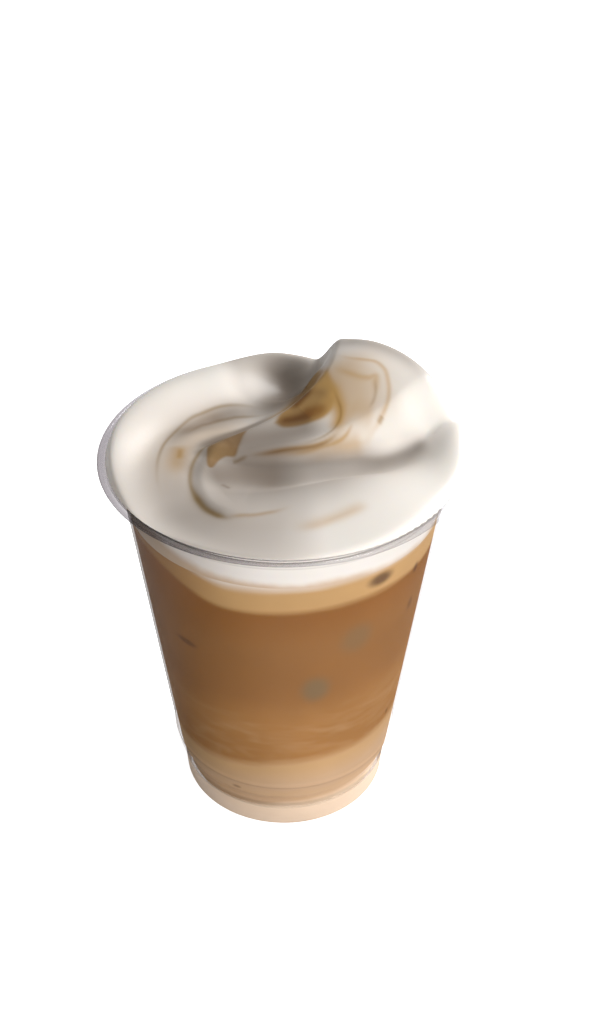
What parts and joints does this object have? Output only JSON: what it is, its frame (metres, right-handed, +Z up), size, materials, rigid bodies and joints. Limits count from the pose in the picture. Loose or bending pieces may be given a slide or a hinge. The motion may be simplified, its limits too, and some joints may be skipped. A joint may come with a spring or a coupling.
{
  "type": "iced cafe mocha",
  "caption": "Iced cafe mocha in a clear plastic cup: layered milk, mocha and caramel froth under a heaped, folded milk foam.",
  "frame": {"origin": "centre of the cup's foot, on the surface it stands on", "axes": "+Z up along the cup's axis, +X to the right and +Y away from the viewer in the picture"},
  "size_m": [0.098, 0.098, 0.1243],
  "materials": {
    "clear_plastic": "clear, smooth, thin-walled",
    "milk": "opaque liquid behind the cup wall",
    "mocha": "opaque liquid behind the cup wall",
    "caramel_froth": "fine froth",
    "milk_foam": "soft satin foam with brown marbling"
  },
  "bodies": {
    "root": {"cup": "clear_plastic", "milk_layer": "milk", "mocha_layer": "mocha", "caramel_froth": "caramel_froth", "milk_foam": "milk_foam"}
  },
  "joints": []
}
